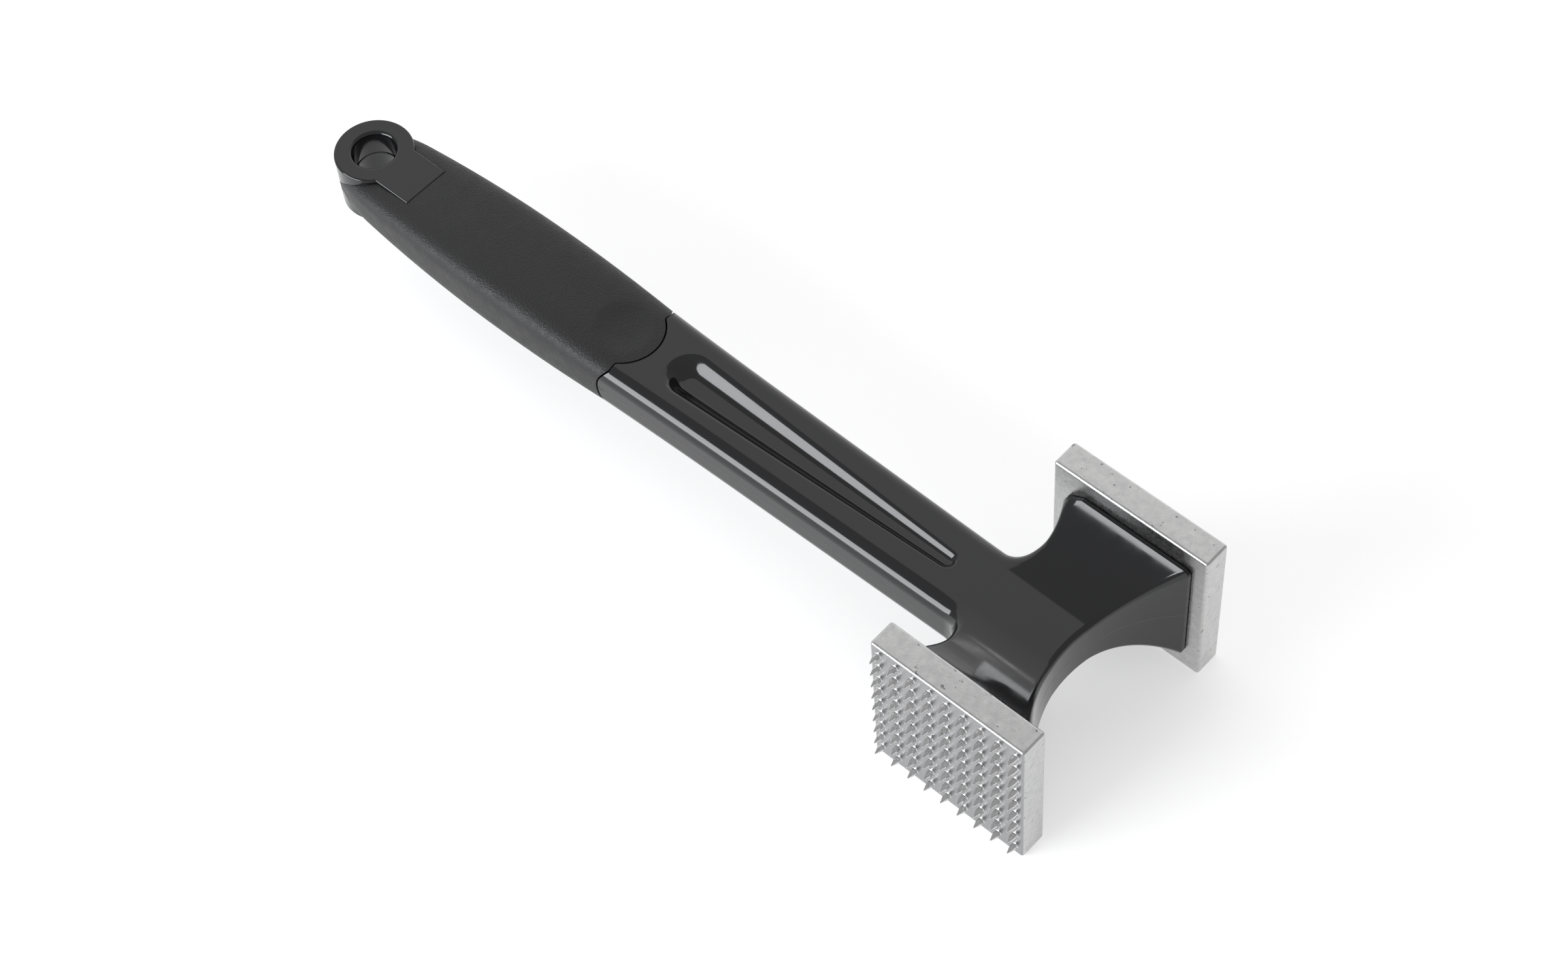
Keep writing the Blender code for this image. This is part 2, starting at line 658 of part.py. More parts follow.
def thumb_dimple(name, side, group):
    """Cutter for a shallow round dimple: a disc turned to a shallow arc."""
    radius = arc_radius(THUMB_RADIUS, THUMB_DEPTH)
    _, surface = grip_section(THUMB_X)
    profile = [(0.0, THUMB_RADIUS), (THUMB_RADIUS, THUMB_RADIUS)]
    for i in range(THUMB_SEGMENTS + 1):
        run = THUMB_RADIUS * (1.0 - i / THUMB_SEGMENTS)
        profile.append((run, radius - THUMB_DEPTH - math.sqrt(radius ** 2 - run ** 2)))
    placed = [(r, side * z) for r, z in profile]
    if side < 0:
        placed.reverse()
    return turned(name, "Z", placed, (THUMB_X, 0.0, side * surface), THUMB_SIDES, group)


# --- Assembly ----------------------------------------------------------------------------


def build():
    """Model every part, then shift the whole so that it stands on the origin."""
    clear_scene()
    parts = make_collection(ASSEMBLY, False)
    cutters = make_collection(CUTTERS, True)
    spiked = plate("spiked_plate", -1, parts, cutters)
    add_boolean(spiked, "UNION", spikes(cutters))
    smooth = plate("smooth_plate", 1, parts, cutters)
    stud = tie_stud(parts)
    core = handle_core(parts, cutters)
    grip = handle_grip(parts, cutters)
    finish_part(spiked, *ALUMINIUM)
    finish_part(smooth, *ALUMINIUM)
    finish_part(stud, *STEEL)
    finish_part(core, *BLACK_NYLON)
    finish_part(grip, *GRIP_PLASTIC)
    root = bpy.data.objects.new(ASSEMBLY + "_origin", None)
    bpy.context.scene.collection.objects.link(root)
    low_x = EYE_X - EYE_RADIUS
    high_x = PLATE_WIDTH / 2
    root.location = Vector((-(low_x + high_x) / 2, SPIKE_LENGTH / 2, PLATE_HEIGHT / 2)) * MM
    for item in list(parts.objects) + list(cutters.objects):
        item.parent = root


build()
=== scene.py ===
"""Looks of the meat mallet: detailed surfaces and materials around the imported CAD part.

Shapes are made in millimetres in the mallet's own frame (x = 0 on the striking axis, y = 0 on the
handle's middle plane, z = 0 at mid-height) and moved into the part's frame as they are made.
"""
import math

import bmesh
import bpy
from mathutils import Matrix, Vector


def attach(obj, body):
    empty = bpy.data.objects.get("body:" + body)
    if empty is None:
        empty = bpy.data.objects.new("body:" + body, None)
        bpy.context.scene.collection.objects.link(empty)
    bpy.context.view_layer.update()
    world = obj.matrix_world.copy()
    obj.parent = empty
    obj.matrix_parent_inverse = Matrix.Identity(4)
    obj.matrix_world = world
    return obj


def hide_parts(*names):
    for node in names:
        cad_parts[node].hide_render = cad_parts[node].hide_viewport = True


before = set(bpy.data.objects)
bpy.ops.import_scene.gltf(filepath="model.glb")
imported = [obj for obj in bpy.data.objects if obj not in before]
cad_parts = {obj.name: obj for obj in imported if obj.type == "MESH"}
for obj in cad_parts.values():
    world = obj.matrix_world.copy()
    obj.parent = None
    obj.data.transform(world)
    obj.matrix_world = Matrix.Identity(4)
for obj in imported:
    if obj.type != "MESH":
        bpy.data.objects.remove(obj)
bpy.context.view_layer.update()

MM = 0.001
ORIGIN = Vector((127.95, 1.75, 28.2))

# Materials, with places in metres in the part's frame
MID_HEIGHT = 0.0282
SPIKED_FACE_Y = -0.0413
# Painted shade on the spiked face, standing in for the dark floor it reflects: its fade width here, its
# colour below
FACE_SHADE_FADE = 0.0003
PIT_COLOUR = (0.2, 0.2, 0.2)
# Colour of the painted shade on the spiked face
FACE_SHADE_COLOUR = (0.34, 0.34, 0.345)
CAST_DARK = (0.47, 0.47, 0.47)
CAST_LIGHT = (0.58, 0.58, 0.575)
SPIKE_DARK = (0.5, 0.5, 0.5)
SPIKE_LIGHT = (0.62, 0.62, 0.615)
NYLON_COLOUR = (0.0060, 0.0062, 0.0072)
GRIP_COLOUR = (0.0195, 0.0195, 0.02)
STEEL_COLOUR = (0.42, 0.42, 0.43)
TINY = 0.001
NEAR_END = 0.1
GAP = 0.3
GRIP_GAP = 0.07
OVERLAP = 0.2

# Fineness of the meshes and of their shading
ROUND_SIDES = 192
BORE_SIDES = 48
SPIKE_SIDES = 24
TEARDROP_STEPS = 48
BLEND_STEPS = 12
TONGUE_STEPS = 36
HOLE_RIM_STEPS = 8
EYE_EDGE_STEPS = 6
NECK_BEVEL_SEGMENTS = 10
PLATE_BEVEL_SEGMENTS = 6
TAB_BEVEL_SEGMENTS = 5
TANG_BEVEL_SEGMENTS = 4
BEVEL_ANGLE = 40.0
PLATE_SHARP_ANGLE = 40.0
SPIKE_SHARP_ANGLE = 50.0
MOULDING_SHARP_ANGLE = 32.0
MERGE_DISTANCE = 0.000002
NORMAL_WEIGHT = 50

# Plates and spikes
PLATE_WIDTH = 54.0
PLATE_HEIGHT = 56.4
PLATE_THICKNESS = 9.1
FACE_TO_FACE = 86.6
PLATE_EDGE = 0.9
SPIKE_ROWS = 9
SPIKE_PITCH = 6.05
SPIKE_HEIGHT = 3.5
SPIKE_ROOT_RADIUS = 1.35
SPIKE_PROFILE = (
    (1.35, -0.05), (1.14, 0.04), (1.02, 0.16), (0.97, 0.34), (0.92, 1.4), (0.84, 1.62),
    (0.5, 2.5), (0.17, 3.32), (0.1, 3.44), (0.04, 3.49),
)
SPIGOT_SIDE = 16.0
SPIGOT_WAIST = 13.0
SPIGOT_ROOT = 4.7
SPIGOT_GROOVE = 4.0
SPIGOT_LENGTH = 13.2
SPIGOT_SINK = 1.0
SPIGOT_LAP = 0.1
STUD_X = -4.0
STUD_RADIUS = 4.0
STUD_HALF_LENGTH = 29.0

# Head
HALF_THICKNESS = 8.8
WAIST_FRONT_X = 7.0
COLLAR_HALF_WIDTH = 22.0
COLLAR_HALF_HEIGHT = 21.0
COLLAR_LENGTH = 1.2
FLARE_START_TILT = 9.0
FLARE_BLEND_RADIUS = 12.0
FLARE_BACK_X = -18.7
FILLET_RADIUS = 8.3
BACK_RIDGE_INSET = 6.4
FLAT_STATIONS = 4
FILLET_STATIONS = 24
FLARE_STATIONS = 26
RIDGE_RADIUS = 1.8
RIDGE_FADE_LENGTH = 4.3

# Neck and its pockets
NECK_ROOT_X = FLARE_BACK_X - FILLET_RADIUS
NECK_ROOT_HALF_WIDTH = 13.7
FILLET_CENTRE_Y = NECK_ROOT_HALF_WIDTH + FILLET_RADIUS
FLARE_START_Y = FILLET_CENTRE_Y - FILLET_RADIUS - BACK_RIDGE_INSET
NECK_TAPER = 0.0145
NECK_FLARE_START_X = -105.0
NECK_FLARE = 0.00018
NECK_BACK_X = -166.0
NECK_EDGE_RADIUS = 5.0
NECK_STATIONS = 48
POCKET_WIDE_X = -136.0
POCKET_WIDE_RADIUS = 7.9
POCKET_WIDE_DEPTH = 4.2
POCKET_TIP_X = -37.1
POCKET_TIP_RADIUS = 3.0
POCKET_TIP_DEPTH = 1.6
POCKET_FLOOR_SHARE = 0.25
POCKET_RIM = 0.4
POCKET_WALL_SEGMENTS = 28

# Grip
GRIP_WIDEST_X = -203.0
GRIP_HALF_WIDTH = 17.4
GRIP_HALF_THICKNESS = 10.9
GRIP_BACK_TAPER = 0.00075
GRIP_FRONT_TAPER = 0.00055
GRIP_CROWN_TAPER = 0.00072
GRIP_SQUARENESS = 4.0
GRIP_BACK_X = -275.0
GRIP_END_LENGTH = 14.0
GRIP_END_TUCK = 1.7
GRIP_END_DROP = 0.8
GRIP_FRONT_X = -156.3
THUMB_X = -163.0
TONGUE_RADIUS = 12.5
TONGUE_BLEND = 1.6
SIDE_ARC_RADIUS = 11.1
SIDE_ARC_SAGITTA = 3.4
SIDE_ARC_INNER_Y = 11.6
SIDE_ARC_OVERRUN = 0.5
JOINT_GROOVE = 0.5
ZONE_BACK_X = -330.0
ZONE_HALF_WIDTH = 40.0
THUMB_REACH = 10.0
THUMB_DEPTH = 0.9
THUMB_POWER = 3.0
SECTION_SAMPLES = 20000
GRIP_SIDES = 200
GRIP_STATIONS = 230
GRIP_OVERRUN = 1.0
CROWN_SHARE = 0.8

# Tang, eye and tab
TANG_HALF_WIDTH = 10.5
TANG_HALF_HEIGHT = 5.6
TANG_FRONT_X = -145.0
TANG_EDGE = 1.0
EYE_X = -270.3
EYE_RADIUS = 12.6
EYE_HALF_HEIGHT = 9.6
EYE_EDGE = 0.7
HOLE_MOUTH_RADIUS = 6.9
HOLE_EDGE = 1.2
HOLE_MIDDLE_RADIUS = 6.6
HOLE_LEDGE = 1.0
LEDGE_SLOPE = 0.25
TAB_FRONT_X = -246.9
TAB_HALF_WIDTH = 8.2
TAB_EDGE = 0.5

# Camera, in metres and degrees
CAMERA_PLACE = (0.426526, -0.374933, 0.804450)
CAMERA_TARGET = (0.035826, -0.006262, 0.0282)
CAMERA_ROLL = -5.36
CAMERA_LENS = 75.21
CAMERA_SENSOR = 36.0
CAMERA_CLIP_START = 0.01

# Studio
WORLD_GLOW = 0.5
FLOOR_GLOW = 0.45
FLOOR_COLOUR = (0.8, 0.8, 0.8)
FLOOR_ROUGHNESS = 0.9
FLOOR_HALF_SIZE = 4000.0
FLOOR_DROP = 0.05
PANEL_AIM = (0.0, 0.0, 0.03)
WHITE = (1.0, 1.0, 1.0)
COOL_WHITE = (0.95, 0.97, 1.0)

# Light panels: name, bearing, rise, distance, size, radiance and colour
PANELS = (
    ("back_wall", -40.0, 31.0, 1.6, (3.4, 2.2), 0.55, WHITE),
    ("front_strip", -158.0, 17.5, 1.4, (1.1, 0.76), 8.0, COOL_WHITE),
    ("window_bar", -16.5, 26.8, 1.4, (0.042, 0.06), 3.6, WHITE),
    ("window_foot", -16.9, 18.0, 1.4, (0.012, 0.26), 3.6, WHITE),
)


# --- Shapes ------------------------------------------------------------------------------


def add_object(name, bm):
    """Turn a bmesh in millimetres into an object in the part's frame."""
    bmesh.ops.translate(bm, vec=ORIGIN, verts=bm.verts)
    bmesh.ops.scale(bm, vec=(MM, MM, MM), verts=bm.verts)
    bmesh.ops.recalc_face_normals(bm, faces=bm.faces)
    mesh = bpy.data.meshes.new(name)
    bm.to_mesh(mesh)
    bm.free()
    item = bpy.data.objects.new(name, mesh)
    bpy.context.scene.collection.objects.link(item)
    return item


def add_bevel(item, width, segments, by_weight=False):
    bevel = item.modifiers.new("bevel", "BEVEL")
    bevel.width = width * MM
    bevel.segments = segments
    bevel.use_clamp_overlap = False
    bevel.limit_method = "WEIGHT" if by_weight else "ANGLE"
    bevel.angle_limit = math.radians(BEVEL_ANGLE)


def combine(item, operation, tools):
    """Combine an item with tools, which are used up."""
    for tool in tools:
        step = item.modifiers.new(tool.name, "BOOLEAN")
        step.operation = operation
        step.object = tool
        step.solver = "EXACT"
    apply_all(item)
    for tool in tools:
        bpy.data.objects.remove(tool)


def apply_all(item):
    """Put the result of every modifier into the item's own mesh."""
    bpy.context.view_layer.update()
    graph = bpy.context.evaluated_depsgraph_get()
    mesh = bpy.data.meshes.new_from_object(item.evaluated_get(graph))
    item.modifiers.clear()
    item.data = mesh


def soften(item, angle):
    """Shade smooth, with sharp edges over an angle and flats that stay flat."""
    bm = bmesh.new()
    bm.from_mesh(item.data)
    bmesh.ops.remove_doubles(bm, verts=bm.verts, dist=MERGE_DISTANCE)
    bm.normal_update()
    for edge in bm.edges:
        edge.smooth = edge.calc_face_angle(0.0) < math.radians(angle)
    for face in bm.faces:
        face.smooth = True
    bm.to_mesh(item.data)
    bm.free()
    weighted = item.modifiers.new("normals", "WEIGHTED_NORMAL")
    weighted.keep_sharp = True
    weighted.weight = NORMAL_WEIGHT
    apply_all(item)


def block(name, low, high, bevel=0.0, segments=1):
    bm = bmesh.new()
    bmesh.ops.create_cube(bm, size=1.0)
    size = [b - a for a, b in zip(low, high)]
    centre = [(a + b) / 2 for a, b in zip(low, high)]
    bmesh.ops.scale(bm, vec=size, verts=bm.verts)
    bmesh.ops.translate(bm, vec=centre, verts=bm.verts)
    item = add_object(name, bm)
    if bevel > 0.0:
        add_bevel(item, bevel, segments)
        apply_all(item)
    return item


def add_turned(bm, profile, centre, sides, axis):
    """Add a closed turned form to a bmesh: radii and heights along an axis, ends on the axis."""
    along = Vector(axis)
    across = Vector((1.0, 0.0, 0.0))
    up = along.cross(across)
    rings = []
    for radius, height in profile:
        middle = Vector(centre) + along * height
        if radius < TINY:
            rings.append([bm.verts.new(middle)])
            continue
        turns = [2 * math.pi * i / sides for i in range(sides)]
        spokes = [across * math.cos(t) + up * math.sin(t) for t in turns]
        rings.append([bm.verts.new(middle + radius * spoke) for spoke in spokes])
    for a, b in zip(rings, rings[1:]):
        for i in range(sides):
            j = (i + 1) % sides
            if len(a) == 1:
                bm.faces.new((a[0], b[i], b[j]))
            elif len(b) == 1:
                bm.faces.new((a[i], a[j], b[0]))
            else:
                bm.faces.new((a[i], a[j], b[j], b[i]))


def turned(name, profile, centre, sides, axis=(0.0, 0.0, 1.0)):
    bm = bmesh.new()
    add_turned(bm, profile, centre, sides, axis)
    return add_object(name, bm)


def cylinder(name, centre, radius, half_length, sides):
    profile = ((0.0, -half_length), (radius, -half_length), (radius, half_length), (0.0, half_length))
    return turned(name, profile, centre, sides, (0.0, 1.0, 0.0))


def arc_radius(half_chord, height):
    return (half_chord ** 2 + height ** 2) / (2.0 * height)


# --- Plates ------------------------------------------------------------------------------


def spigot_blocks(name, side, gap):
    back = FACE_TO_FACE / 2 - PLATE_THICKNESS
    groove_end = back - SPIGOT_ROOT
    foot_end = groove_end - SPIGOT_GROOVE
    spans = (
        ("root", SPIGOT_SIDE / 2 + gap, groove_end - gap, back + SPIGOT_SINK),
        ("waist", SPIGOT_WAIST / 2 + gap, foot_end + gap - SPIGOT_LAP, groove_end - gap + SPIGOT_LAP),
        ("foot", SPIGOT_SIDE / 2 + gap, back - SPIGOT_LENGTH - gap, foot_end + gap),
    )
    pieces = []
    for label, half, near, far in spans:
        low_y, high_y = sorted((side * near, side * far))
        low = (STUD_X - half, low_y, -half)
        pieces.append(block(f"{name}_{label}", low, (STUD_X + half, high_y, half)))
    return pieces


def make_plate(name, side):
    face = side * FACE_TO_FACE / 2
    low_y, high_y = sorted((face, side * (FACE_TO_FACE / 2 - PLATE_THICKNESS)))
    low = (-PLATE_WIDTH / 2, low_y, -PLATE_HEIGHT / 2)
    item = block(name, low, (PLATE_WIDTH / 2, high_y, PLATE_HEIGHT / 2), PLATE_EDGE, PLATE_BEVEL_SEGMENTS)
    combine(item, "UNION", spigot_blocks(name, side, 0.0))
    middle = (STUD_X, side * STUD_HALF_LENGTH / 2, 0.0)
    hole = cylinder(name + "_hole", middle, STUD_RADIUS + GAP, STUD_HALF_LENGTH / 2 + GAP, BORE_SIDES)
    combine(item, "DIFFERENCE", [hole])
    soften(item, PLATE_SHARP_ANGLE)
    return item


def make_spikes():
    """All the spikes of the spiked face as one piece, each with a small fillet at its root."""
    bm = bmesh.new()
    first = -SPIKE_PITCH * (SPIKE_ROWS - 1) / 2
    profile = ((0.0, -OVERLAP), (SPIKE_ROOT_RADIUS, -OVERLAP), *SPIKE_PROFILE, (0.0, SPIKE_HEIGHT))
    for i in range(SPIKE_ROWS):
        for k in range(SPIKE_ROWS):
            centre = (first + SPIKE_PITCH * i, -FACE_TO_FACE / 2, first + SPIKE_PITCH * k)
            add_turned(bm, profile, centre, SPIKE_SIDES, (0.0, -1.0, 0.0))
    item = add_object("spikes", bm)
    soften(item, SPIKE_SHARP_ANGLE)
    return item


# --- Core --------------------------------------------------------------------------------


def collar_span():
    end = FACE_TO_FACE / 2 - PLATE_THICKNESS - GAP
    return end - COLLAR_LENGTH, end


def saddle_rise(y):
    """Rise of the saddle at a distance y from the middle plane: a short blend, then a long arc."""
    start, _ = collar_span()
    run = min(y, start) - FLARE_START_Y
    tilt = math.radians(FLARE_START_TILT)
    blend = FLARE_BLEND_RADIUS * math.sin(tilt)
    if run <= 0.0:
        return 0.0
    if run < blend:
        return FLARE_BLEND_RADIUS - math.sqrt(FLARE_BLEND_RADIUS ** 2 - run ** 2)
    base = FLARE_BLEND_RADIUS * (1.0 - math.cos(tilt))
    length = start - FLARE_START_Y - blend
    height = COLLAR_HALF_HEIGHT - HALF_THICKNESS - base
    end_tilt = 2.0 * math.atan2(height, length) - tilt
    radius = length / (math.sin(end_tilt) - math.sin(tilt))
    sine = math.sin(tilt) + (run - blend) / radius
    return base + radius * (math.cos(tilt) - math.sqrt(1.0 - sine ** 2))


def head_height(x, y):
    """Half-height of the head: the saddle fades out where the neck begins."""
    share = min(max((x - NECK_ROOT_X) / FILLET_RADIUS, 0.0), 1.0)
    return HALF_THICKNESS + saddle_rise(abs(y)) * share * share * (3.0 - 2.0 * share)


def head_front(y):
    """Front outline of the head, a hollow arc from collar to collar."""
    start, _ = collar_span()
    radius = arc_radius(start, COLLAR_HALF_WIDTH - WAIST_FRONT_X)
    return WAIST_FRONT_X + radius - math.sqrt(radius ** 2 - min(y, start) ** 2)


def head_back(y):
    """Back outline of the flare, from the end of the fillet to the collar."""
    start, _ = collar_span()
    run = min(y, start) - FILLET_CENTRE_Y
    radius = arc_radius(start - FILLET_CENTRE_Y, COLLAR_HALF_WIDTH + FLARE_BACK_X)
    return FLARE_BACK_X - radius + math.sqrt(radius ** 2 - run ** 2)


def neck_half_width(x):
    """Half-width of the neck, which widens towards the grip."""
    flare = max(NECK_FLARE_START_X - x, 0.0)
    return NECK_ROOT_HALF_WIDTH + NECK_TAPER * (NECK_ROOT_X - x) + NECK_FLARE * flare ** 2


def head_columns():
    """Plan of the head's top, from the middle plane out: rows of points from back to front."""
    start, end = collar_span()
    columns = []
    for i in range(FLAT_STATIONS):
        y = FLARE_START_Y * i / FLAT_STATIONS
        columns.append([(NECK_ROOT_X, y), (head_front(y), y)])
    for i in range(FILLET_STATIONS):
        angle = math.pi / 2 * i / FILLET_STATIONS
        ring = [FILLET_RADIUS, FILLET_RADIUS + BACK_RIDGE_INSET]
        row = [(NECK_ROOT_X + r * math.sin(angle), FILLET_CENTRE_Y - r * math.cos(angle)) for r in ring]
        columns.append(row + [(head_front(row[1][1]), row[1][1])])
    length = start - FILLET_CENTRE_Y
    flare = [FILLET_CENTRE_Y + length * i / FLARE_STATIONS for i in range(FLARE_STATIONS + 1)]
    for y in flare + [end]:
        back = head_back(y)
        columns.append([(back, y), (back + BACK_RIDGE_INSET, y), (head_front(y), y)])
    return columns


def edge_weight(x, y):
    """Full radius along the neck, fading in the fillets to the radius of the head's ridges."""
    small = RIDGE_RADIUS / NECK_EDGE_RADIUS
    if x > 0.0:
        return small
    fade = (abs(y) - NECK_ROOT_HALF_WIDTH) / RIDGE_FADE_LENGTH
    return 1.0 + (small - 1.0) * min(max(fade, 0.0), 1.0) if x > NECK_ROOT_X else 1.0


def weigh_edges(bm):
    """Bevel weights on the ridges of the head and along the neck."""
    bmesh.ops.recalc_face_normals(bm, faces=bm.faces)
    weight = bm.edges.layers.float.new("bevel_weight_edge")
    for edge in bm.edges:
        a, b = (vertex.co for vertex in edge.verts)
        middle = (a + b) / 2
        upright = abs(a.z - b.z) > HALF_THICKNESS
        at_end = abs(middle.y) > collar_span()[1] - TINY or middle.x < NECK_BACK_X + NEAR_END
        blunt = edge.calc_face_angle(0.0) < math.radians(BEVEL_ANGLE)
        on_collar_line = abs(abs(middle.y) - collar_span()[0]) < TINY
        if not (upright or at_end or blunt or on_collar_line):
            edge[weight] = edge_weight(middle.x, middle.y)


def head_and_neck():
    """The waisted head and the neck as one mesh with rounded ridges."""
    half = head_columns()
    plan = [[(x, -y) for x, y in row] for row in reversed(half[1:])] + half
    bm = bmesh.new()
    top, bottom = ([[bm.verts.new((x, y, side * head_height(x, y))) for x, y in row] for row in plan]
                   for side in (1, -1))
    for i in range(len(plan) - 1):
        for face in (top, bottom):
            a, b = face[i][-2:], face[i + 1][-2:]
            bm.faces.new((a[0], a[1], b[1], b[0]))
            if len(face[i]) == 3 and len(face[i + 1]) == 3:
                bm.faces.new((face[i][0], a[0], b[0], face[i + 1][0]))
        bm.faces.new((top[i][-1], bottom[i][-1], bottom[i + 1][-1], top[i + 1][-1]))
        if len(plan[i]) == 3 and len(plan[i + 1]) == 3:
            bm.faces.new((top[i][0], bottom[i][0], bottom[i + 1][0], top[i + 1][0]))
    for i in (0, -1):
        bm.faces.new(top[i] + bottom[i][::-1])
    roots = [i for i, row in enumerate(plan) if abs(row[0][0] - NECK_ROOT_X) < TINY and len(row) == 3]
    chains = []
    for side, root in ((-1, roots[0]), (1, roots[1])):
        chain = [(top[root][0], bottom[root][0])]
        for i in range(1, NECK_STATIONS + 1):
            x = NECK_ROOT_X + (NECK_BACK_X - NECK_ROOT_X) * i / NECK_STATIONS
            y = side * neck_half_width(x)
            chain.append([bm.verts.new((x, y, z)) for z in (HALF_THICKNESS, -HALF_THICKNESS)])
        for (a, b), (c, d) in zip(chain, chain[1:]):
            bm.faces.new((a, b, d, c))
        chains.append(chain)
    for k, face in enumerate((top, bottom)):
        across = [face[i][-2] for i in range(roots[0], roots[1] + 1)]
        there = [pair[k] for pair in chains[1]]
        return_way = [pair[k] for pair in reversed(chains[0])]
        bm.faces.new(across + there + return_way)
    bm.faces.new((*chains[0][-1], *reversed(chains[1][-1])))
    weigh_edges(bm)
    item = add_object("core_body", bm)
    add_bevel(item, NECK_EDGE_RADIUS, NECK_BEVEL_SEGMENTS, by_weight=True)
    apply_all(item)
    return item


def teardrop(scale, margin):
    """Plan outline of the pocket: a wide and a small circle, and the lines that touch both."""
    wide = POCKET_WIDE_RADIUS * scale + margin
    tip = POCKET_TIP_RADIUS * scale + margin
    lean = math.acos((wide - tip) / (POCKET_TIP_X - POCKET_WIDE_X))
    points = []
    for i in range(TEARDROP_STEPS + 1):
        angle = -lean + 2 * lean * i / TEARDROP_STEPS
        points.append((POCKET_TIP_X + tip * math.cos(angle), tip * math.sin(angle)))
    for i in range(TEARDROP_STEPS + 1):
        angle = lean + (2 * math.pi - 2 * lean) * i / TEARDROP_STEPS
        points.append((POCKET_WIDE_X + wide * math.cos(angle), wide * math.sin(angle)))
    return points


def pocket(name, side):
    """Cutter for one pocket: walls that are steepest halfway down, and a flat sloping floor."""
    rings = [(1.0, POCKET_RIM, -OVERLAP, 0.0), (1.0, POCKET_RIM, 0.0, 0.0)]
    for i in range(1, POCKET_WALL_SEGMENTS + 1):
        inward = i / POCKET_WALL_SEGMENTS
        scale = 1.0 - (1.0 - POCKET_FLOOR_SHARE) * inward
        share = (1.0 - math.cos(math.pi * inward)) / 2
        rings.append((scale, POCKET_RIM * (1.0 - inward), 0.0, share))
    bm = bmesh.new()
    loops = []
    for scale, margin, drop, share in rings:
        loop = []
        for x, y in teardrop(scale, margin):
            along = (x - POCKET_WIDE_X) / (POCKET_TIP_X - POCKET_WIDE_X)
            depth = POCKET_WIDE_DEPTH + (POCKET_TIP_DEPTH - POCKET_WIDE_DEPTH) * along
            loop.append(bm.verts.new((x, y, side * (HALF_THICKNESS - drop - share * depth))))
        loops.append(loop)
    bridge(bm, loops)
    return add_object(name, bm)


def bridge(bm, loops):
    for a, b in zip(loops, loops[1:]):
        for i in range(len(a)):
            j = (i + 1) % len(a)
            bm.faces.new((a[i], a[j], b[j], b[i]))
    bm.faces.new(loops[0])
    bm.faces.new(loops[-1])


def eye_profile(grow):
    radius = EYE_RADIUS + grow
    top = EYE_HALF_HEIGHT + grow
    upper = [(0.0, top)]
    for i in range(EYE_EDGE_STEPS + 1):
        angle = math.pi / 2 * i / EYE_EDGE_STEPS
        out = radius - EYE_EDGE + EYE_EDGE * math.sin(angle)
        upper.append((out, top - EYE_EDGE + EYE_EDGE * math.cos(angle)))
    return upper + [(r, -z) for r, z in reversed(upper)]


def eye_hole():
    """Cutter for the hanging hole: drafted from both faces, rounded rims, a low ledge inside."""
    top = EYE_HALF_HEIGHT
    rim = HOLE_EDGE
    upper = [(0.0, top + rim), (HOLE_MOUTH_RADIUS + rim, top + rim)]
    for i in range(HOLE_RIM_STEPS + 1):
        angle = math.pi / 2 * i / HOLE_RIM_STEPS
        upper.append((HOLE_MOUTH_RADIUS + rim - rim * math.sin(angle), top - rim + rim * math.cos(angle)))
    upper.append((HOLE_MIDDLE_RADIUS + LEDGE_SLOPE, HOLE_LEDGE / 2 + LEDGE_SLOPE))
    upper.append((HOLE_MIDDLE_RADIUS, HOLE_LEDGE / 2))
    profile = upper + [(r, -z) for r, z in reversed(upper)]
    return turned("eye_hole", profile, (EYE_X, 0.0, 0.0), ROUND_SIDES)


def butt_pieces(name, grow):
    half_y = TANG_HALF_WIDTH + grow
    half_z = TANG_HALF_HEIGHT + grow
    low = (EYE_X, -half_y, -half_z)
    tang = block(name + "_tang", low, (TANG_FRONT_X, half_y, half_z), TANG_EDGE, TANG_BEVEL_SEGMENTS)
    eye = turned(name + "_eye", eye_profile(grow), (EYE_X, 0.0, 0.0), ROUND_SIDES)
    half_y = TAB_HALF_WIDTH + grow
    half_z = EYE_HALF_HEIGHT + grow
    edge = TAB_EDGE if grow == 0.0 else 0.0
    low = (EYE_X, -half_y, -half_z)
    tab = block(name + "_tab", low, (TAB_FRONT_X + grow, half_y, half_z), edge, TAB_BEVEL_SEGMENTS)
    return [tang, eye, tab]


def prism(name, outline, half_height):
    bm = bmesh.new()
    base = bm.faces.new([bm.verts.new((x, y, -half_height)) for x, y in outline])
    lifted = bmesh.ops.extrude_face_region(bm, geom=[base])
    moved = [part for part in lifted["geom"] if isinstance(part, bmesh.types.BMVert)]
    bmesh.ops.translate(bm, vec=(0.0, 0.0, 2 * half_height), verts=moved)
    return add_object(name, bm)


